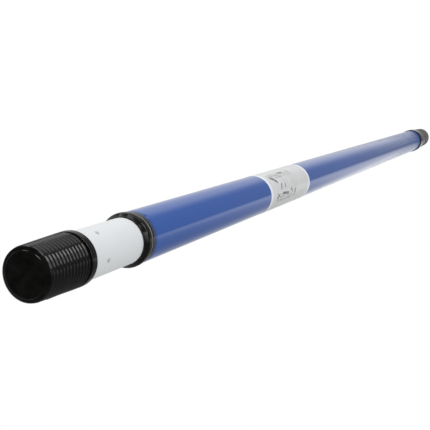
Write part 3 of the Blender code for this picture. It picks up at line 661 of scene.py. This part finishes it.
RECESS_X = (15.0, 29.0)   # in the cable socket, for the lead's plug
RECESS_Y = (-4.5, 4.5)
RECESS_TOP = -8.0
KEYWAY_X = (20.5, 23.5)   # and the slot for the plug's key
KEYWAY_Y = (3.5, 5.5)
KEYWAY_TOP = -8.5


def make_cable_socket():
    low, high = [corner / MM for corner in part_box("cable_socket")]
    socket = soft_box("lead_socket", low, high, 0.7)
    below = low.z - THROUGH
    for name, along, across, top, edge in (("recess", RECESS_X, RECESS_Y, RECESS_TOP, 1.2),
                                           ("keyway", KEYWAY_X, KEYWAY_Y, KEYWAY_TOP, 0.3)):
        cutter = soft_box(name, (along[0], across[0], below), (along[1], across[1], top), edge)
        combine(socket, cutter, "DIFFERENCE")
    stand_for(socket, "cable_socket", "motor_head")


PIN_R = 0.9
PIN_SPACING = 3.5
PIN_TIP = ((0.0, 0.35), (0.25, 0.8), (0.6, 1.0))   # how far up, and the share of the pin's radius there
STRIP_THICK = 0.8
STRIP_OVERLAP = 0.5       # how far the pins reach into the strip


def make_contacts():
    """Three round pins on a strip, in the socket."""
    low, high = [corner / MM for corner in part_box("socket_contacts")]
    strip_low = high.z - STRIP_THICK
    strip = soft_box("contact_pins", (low.x, low.y, strip_low), tuple(high), 0.2)
    for n in (-1, 0, 1):
        pin = upright_pin("pin", (low.x + high.x) / 2 + n * PIN_SPACING, low.z, strip_low + STRIP_OVERLAP)
        combine(strip, pin, "UNION")
    stand_for(strip, "socket_contacts", "motor_head")


def upright_pin(name, x, low, high):
    """A pin with a rounded lower tip."""
    mesh = bpy.data.meshes.new(name)
    bm = bmesh.new()
    rings = []
    for z, r in [(low + up, PIN_R * share) for up, share in PIN_TIP] + [(high, PIN_R)]:
        rings.append([bm.verts.new(((x + r * math.cos(2 * math.pi * n / SMALL_ROUND)) * MM,
                                    r * math.sin(2 * math.pi * n / SMALL_ROUND) * MM, z * MM))
                      for n in range(SMALL_ROUND)])
    for a, b in zip(rings, rings[1:]):
        for n in range(SMALL_ROUND):
            m = (n + 1) % SMALL_ROUND
            bm.faces.new((a[n], a[m], b[m], b[n]))
    bm.faces.new(rings[0])
    bm.faces.new(rings[-1])
    bmesh.ops.recalc_face_normals(bm, faces=bm.faces)
    bm.to_mesh(mesh)
    bm.free()
    return new_piece(name, mesh)


BUTTON_R = 2.4
BUTTON_HOLE_R = 2.8
BUTTON_HOLE_Y = (12.0, 21.0)
BUTTON_COLLAR_R = 3.6     # the collar that holds the button in
BUTTON_COLLAR_Y = (13.2, 14.3)
DISH_R = 1.7
DISH_DEPTH = 0.4


def make_setting_button():
    """The button, with a rounded edge and a shallow dish in its face."""
    low, high = [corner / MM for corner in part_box("setting_button")]
    inner, outer = low.y, high.y
    collar_low, collar_high = BUTTON_COLLAR_Y
    profile = [(inner, 0.0), (inner, BUTTON_R), (collar_low, BUTTON_R), (collar_low, BUTTON_COLLAR_R),
               (collar_high, BUTTON_COLLAR_R), (collar_high, BUTTON_R), (outer, BUTTON_R, 0.5),
               (outer, DISH_R), (outer - 0.35, DISH_R - 0.5, 0.4), (outer - DISH_DEPTH, 0.0)]
    button = turned("set_button", rounded(profile, 0.2), around=SMALL_ROUND)
    button.data.transform(Matrix.Rotation(math.pi / 2, 4, "Z"))
    button.data.transform(Matrix.Translation(((low.x + high.x) / 2 * MM, 0.0, 0.0)))
    stand_for(button, "setting_button", "setting_button")


def make_brake_spring():
    """The brake's spring, which shortens as the coil draws the armature in."""
    spring = new_piece("release_spring", frame["nodes"]["brake_spring"].data.copy())
    stand_for(spring, "brake_spring", "motor_head")
    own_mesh(spring)


# the winding tube and what it carries

CROWN_STAKES = 3
CROWN_STAKE_X = 136.0
CROWN_STAKE_REACH = 1.4
CROWN_STAKE_DEPTH = 1.5
FIRST_CROWN_STAKE = 214.0
CROWN_BORE = 17.8
CROWN_LIP_R = 18.2        # the thin edge towards the head
CROWN_LIP = 0.8
CROWN_BAND = (4.2, 7.7)   # the widest part, from the ring's start
CROWN_GROOVE = (8.4, 10.8)
CROWN_GROOVE_R = 18.8
CROWN_SIDE_R = 20.1       # the groove's two sides
CROWN_REAR = 12.5         # where the ring ends and its plug in the tube begins
PLUG_R = 18.4
TUBE_WALL = 1.2
TUBE_ROLL = 5.2           # the length of the tube's rolled-in end
TUBE_ROLL_DEPTH = 0.75


def make_crown_ring():
    start, end, rim_r = span("crown_ring")
    band_start, band_end = [start + x for x in CROWN_BAND]
    groove_start, groove_end = [start + x for x in CROWN_GROOVE]
    rear = start + CROWN_REAR
    profile = [(start, CROWN_BORE), (start, CROWN_LIP_R - 0.1, 0.2), (start + CROWN_LIP, CROWN_LIP_R),
               (band_start - 0.8, rim_r - 0.45, 0.3), (band_start, rim_r, 0.4), (band_end, rim_r, 0.3),
               (groove_start, CROWN_SIDE_R, 0.1), (groove_start, CROWN_GROOVE_R),
               (groove_end, CROWN_GROOVE_R), (groove_end, CROWN_SIDE_R, 0.2), (rear, CROWN_SIDE_R, 0.2),
               (rear, PLUG_R), (end, PLUG_R), (end, CROWN_BORE), (start, CROWN_BORE)]
    stand_for(turned("crown", rounded(profile, 0.15)[1:], closed=True), "crown_ring", "tube")


SEAL_INNER_R = 19.1
SEAL_STEPS = 20


def make_crown_seal():
    """A lip seal: a round bead in the crown's groove."""
    start, end, radius = span("crown_seal")
    middle = (start + end) / 2
    half_width = (end - start) / 2
    middle_r = (radius + SEAL_INNER_R) / 2
    half_height = (radius - SEAL_INNER_R) / 2
    profile = []
    for n in range(SEAL_STEPS):
        turn = 2 * math.pi * n / SEAL_STEPS
        profile.append((middle + half_width * math.cos(turn), middle_r + half_height * math.sin(turn)))
    stand_for(turned("lip_seal", profile, closed=True), "crown_seal", "tube")


def make_winding_tube():
    start, end, radius = span("winding_tube")
    bore = radius - TUBE_WALL
    profile = [(start, bore), (start, radius - TUBE_ROLL_DEPTH, 0.3), (start + TUBE_ROLL, radius, 1.2),
               (end, radius, 0.4), (end, bore), (start, bore)]
    profile = divided(rounded(profile, 0.3)[1:], CROWN_STAKE_X)
    dents = [(CROWN_STAKE_X, polar_angle(FIRST_CROWN_STAKE + 360.0 * n / CROWN_STAKES),
              CROWN_STAKE_REACH, CROWN_STAKE_DEPTH) for n in range(CROWN_STAKES)]
    tube = turned("blue_tube", profile, closed=True, around=2 * ROUND, dents=dents,
                  dent_floor=span("housing_tube")[2] + CLEARANCE)
    stand_for(tube, "winding_tube", "tube")


LABEL_LIFT = 0.03
LABEL_FILM_THICK = 0.12


def make_label():
    start, end, _ = span("label")
    radius = span("winding_tube")[2] + LABEL_LIFT
    outer = radius + LABEL_FILM_THICK
    profile = [(start, radius), (start, outer), (end, outer), (end, radius), (start, radius)]
    stand_for(turned("rating_sheet", rounded(profile, 0.04)[1:], closed=True), "label", "tube")


# the idler end

FLANGE_BORE = 9.5
FLANGE_FACE_R = (10.2, 16.5)    # the sunk part of the flange's outer face
FLANGE_FACE_DEPTH = 0.8


def make_end_flange():
    start, end, radius = span("end_flange")
    shoulder = span("winding_tube")[1] + CLEARANCE
    inner_r, outer_r = FLANGE_FACE_R
    sunk = end - FLANGE_FACE_DEPTH
    profile = [(start, FLANGE_BORE), (start, PLUG_R), (shoulder, PLUG_R), (shoulder, radius, 0.7),
               (end, radius, 1.5), (end, outer_r, 0.3), (sunk, outer_r - 0.5, 0.3), (sunk, inner_r),
               (end, inner_r), (end, FLANGE_BORE), (start, FLANGE_BORE)]
    stand_for(turned("tube_end", rounded(profile, 0.3)[1:], closed=True), "end_flange", "tube")


SLEEVE_TAPER = 3.0        # the length of the sleeve's slightly narrower start
SLEEVE_CAVITY_R = 15.0
SLEEVE_WALL = 5.4         # between the sleeve's start and its cavity


def make_idler_sleeve():
    start, end, radius = span("idler_sleeve")
    wall = start + SLEEVE_WALL
    profile = [(start, HUB_BORE), (start, radius - 0.2, 0.6), (start + SLEEVE_TAPER, radius, 0.6),
               (end, radius, 0.5), (end, SLEEVE_CAVITY_R), (wall, SLEEVE_CAVITY_R), (wall, HUB_R),
               (end, HUB_R), (end, HUB_BORE), (start, HUB_BORE)]
    stand_for(turned("end_sleeve", rounded(profile, 0.3)[1:], closed=True), "idler_sleeve", "idler_spigot")


# the stage and its lights

# Seen by the camera, the floor and the wall are plain white. They light the part with a second
# strength, and the part mirrors a third: a dim room with a bright backdrop and a sheet of paper on
# its floor. The world's limits are shares of a direction, from -1 to 1, and the floor's are in metres.

FLOOR_Z = -0.30           # metres, under the part, which its bracket holds up
FLOOR_HALF = 30.0
FLOOR_SEEN = 1.0
FLOOR_LIT = 0.72
WORLD_SEEN = 1.3
WORLD_LIT = (0.90, 1.50)  # from low down to straight up
WORLD_LIT_Z = (-0.3, 1.0)
ROOM = (0.13, 0.34)       # the mirrored room behind the camera, and ahead of it
ROOM_X = (-0.3, 0.3)
BACKDROP = 0.95           # the mirrored backdrop
BACKDROP_X = (-0.1, 0.3)  # where it begins ahead
BACKDROP_Y = (-0.16, 0.14)
BACKDROP_Z = (0.60, 0.80)                   # and where it ends above
FLOOR_ROOM = (0.06, 0.25)                   # the mirrored floor behind the camera, and ahead of it
FLOOR_ROOM_X = (-0.6, 0.1)
PAPER = 0.25                                # added where the paper lies
PAPER_X = (-0.3, 0.1)                       # where it begins
PAPER_Y = (-0.15, 0.20)
FLOOR_AHEAD = 0.62                          # added further ahead
FLOOR_AHEAD_X = ((0.6, 2.6), (2.2, 7.0))    # where that begins, and where it ends


def make_floor():
    mesh = bpy.data.meshes.new("floor")
    bm = bmesh.new()
    bmesh.ops.create_grid(bm, x_segments=1, y_segments=1, size=FLOOR_HALF,
                          matrix=Matrix.Translation((0.0, 0.0, FLOOR_Z)))
    bm.to_mesh(mesh)
    bm.free()
    floor = bpy.data.objects.new("floor", mesh)
    bpy.context.scene.collection.objects.link(floor)
    look = Look("floor")
    nodes, links = look.nodes, look.links
    glow = nodes.new("ShaderNodeEmission")
    split = nodes.new("ShaderNodeSeparateXYZ")
    links.new(look.place, split.inputs[0])
    x, y, _ = split.outputs
    paper = look.math("MULTIPLY", grading(nodes, links, y, PAPER_Y, (0.0, 1.0)),
                      grading(nodes, links, x, PAPER_X, (0.0, 1.0)))
    room = grading(nodes, links, x, FLOOR_ROOM_X, FLOOR_ROOM)
    begins, ends = FLOOR_AHEAD_X
    ahead = look.math("MULTIPLY", grading(nodes, links, x, begins, (0.0, FLOOR_AHEAD)),
                      grading(nodes, links, x, ends, (1.0, 0.0)))
    mirrored = look.math("MULTIPLY_ADD", paper, PAPER, look.math("ADD", room, ahead))
    links.new(strength_by_ray(nodes, links, FLOOR_SEEN, FLOOR_LIT, mirrored), glow.inputs["Strength"])
    links.new(glow.outputs[0], nodes["Material Output"].inputs["Surface"])
    look.material.cycles.emission_sampling = "NONE"
    mesh.materials.append(look.material)


def strength_by_ray(nodes, links, seen, lit, mirrored):
    """One strength for the camera, one for what the stage lights, and one for what mirrors it."""
    path = nodes.new("ShaderNodeLightPath")
    result = lit
    for ray, value in (("Is Glossy Ray", mirrored), ("Is Camera Ray", seen)):
        choice = nodes.new("ShaderNodeMix")
        links.new(path.outputs[ray], choice.inputs[0])
        for index, number in ((2, result), (3, value)):
            if isinstance(number, bpy.types.NodeSocket):
                links.new(number, choice.inputs[index])
            else:
                choice.inputs[index].default_value = number
        result = choice.outputs[0]
    return result


def grading(nodes, links, value, limits, ends):
    """A smooth step from one number to another, between two limits of a value."""
    node = nodes.new("ShaderNodeMapRange")
    node.interpolation_type = "SMOOTHSTEP"
    links.new(value, node.inputs["Value"])
    for socket, number in zip(("From Min", "From Max", "To Min", "To Max"), (*limits, *ends)):
        node.inputs[socket].default_value = number
    return node.outputs["Result"]


def make_world():
    """White to the camera, soft light from all sides, and a bright backdrop in a dim room in mirrors."""
    world = bpy.data.worlds.new("studio")
    bpy.context.scene.world = world
    world.use_nodes = True
    nodes = world.node_tree.nodes
    links = world.node_tree.links
    nodes.clear()
    output = nodes.new("ShaderNodeOutputWorld")
    light = nodes.new("ShaderNodeBackground")
    place = nodes.new("ShaderNodeTexCoord")
    split = nodes.new("ShaderNodeSeparateXYZ")
    links.new(place.outputs["Generated"], split.inputs[0])
    x, y, z = split.outputs
    lit = grading(nodes, links, z, WORLD_LIT_Z, WORLD_LIT)
    mirrored = BACKDROP - ROOM[1]
    for value, limits, ends in ((x, BACKDROP_X, (0.0, 1.0)), (y, BACKDROP_Y, (0.0, 1.0)),
                                (z, BACKDROP_Z, (1.0, 0.0))):
        product = nodes.new("ShaderNodeMath")
        product.operation = "MULTIPLY"
        links.new(grading(nodes, links, value, limits, ends), product.inputs[0])
        if isinstance(mirrored, float):
            product.inputs[1].default_value = mirrored
        else:
            links.new(mirrored, product.inputs[1])
        mirrored = product.outputs[0]
    room = nodes.new("ShaderNodeMath")
    links.new(mirrored, room.inputs[0])
    links.new(grading(nodes, links, x, ROOM_X, ROOM), room.inputs[1])
    strength = strength_by_ray(nodes, links, WORLD_SEEN, lit, room.outputs[0])
    links.new(strength, light.inputs["Strength"])
    links.new(light.outputs[0], output.inputs["Surface"])
    world.cycles.sampling_method = "NONE"


def soft_light(name, at, towards, size, power):
    """A box of light, placed in metres, that only shows in what mirrors it."""
    data = bpy.data.lights.new(name, "AREA")
    data.shape = "RECTANGLE"
    data.size, data.size_y = size
    data.energy = power
    light = bpy.data.objects.new(name, data)
    light.location = at
    light.rotation_euler = (Vector(towards) - Vector(at)).to_track_quat("-Z", "Y").to_euler()
    light.visible_diffuse = False
    bpy.context.scene.collection.objects.link(light)


OVERHEAD_Z = 0.95         # metres


def make_lights():
    """Three boxes overhead for the streaks on the blue tube, and four beside the head for its ribs."""
    for name, x, y, size, power in (("overhead_near", 0.13, -0.12, (0.20, 0.74), 1.2),
                                    ("overhead_far", 0.36, 0.52, (0.22, 0.54), 1.0),
                                    ("overhead_back", -0.12, 0.62, (0.50, 0.44), 2.4)):
        soft_light(name, (x, y, OVERHEAD_Z), (x, y, 0.0), size, power)
    soft_light("window_top", (0.04, -0.82, 0.88), (0.02, 0.0, 0.0), (0.20, 0.38), 2.2)
    soft_light("window_low", (0.04, -1.07, 0.54), (0.02, 0.0, 0.0), (0.20, 0.47), 1.2)
    soft_light("front_box", (-0.25, -0.22, 0.60), (0.0, 0.0, 0.0), (0.25, 0.25), 2.4)
    soft_light("side_box", (-0.18, -0.74, 0.12), (-0.02, 0.0, 0.0), (0.24, 0.45), 1.4)


make_camera()
SLOTS = {part["node"]: part["material_slot"] for part in frame["record"]["subparts"]}
LOOKS = make_looks()
for node, piece in frame["nodes"].items():
    wear(piece, SLOTS[node])
make_head_cap()
make_head_collar()
make_head_core()
make_housing_tube()
make_cable_socket()
make_contacts()
make_setting_button()
make_brake_spring()
make_crown_ring()
make_crown_seal()
make_winding_tube()
make_label()
make_end_flange()
make_idler_sleeve()
make_end_cap()
make_floor()
make_world()
make_lights()
bpy.context.scene.view_settings.view_transform = "Standard"
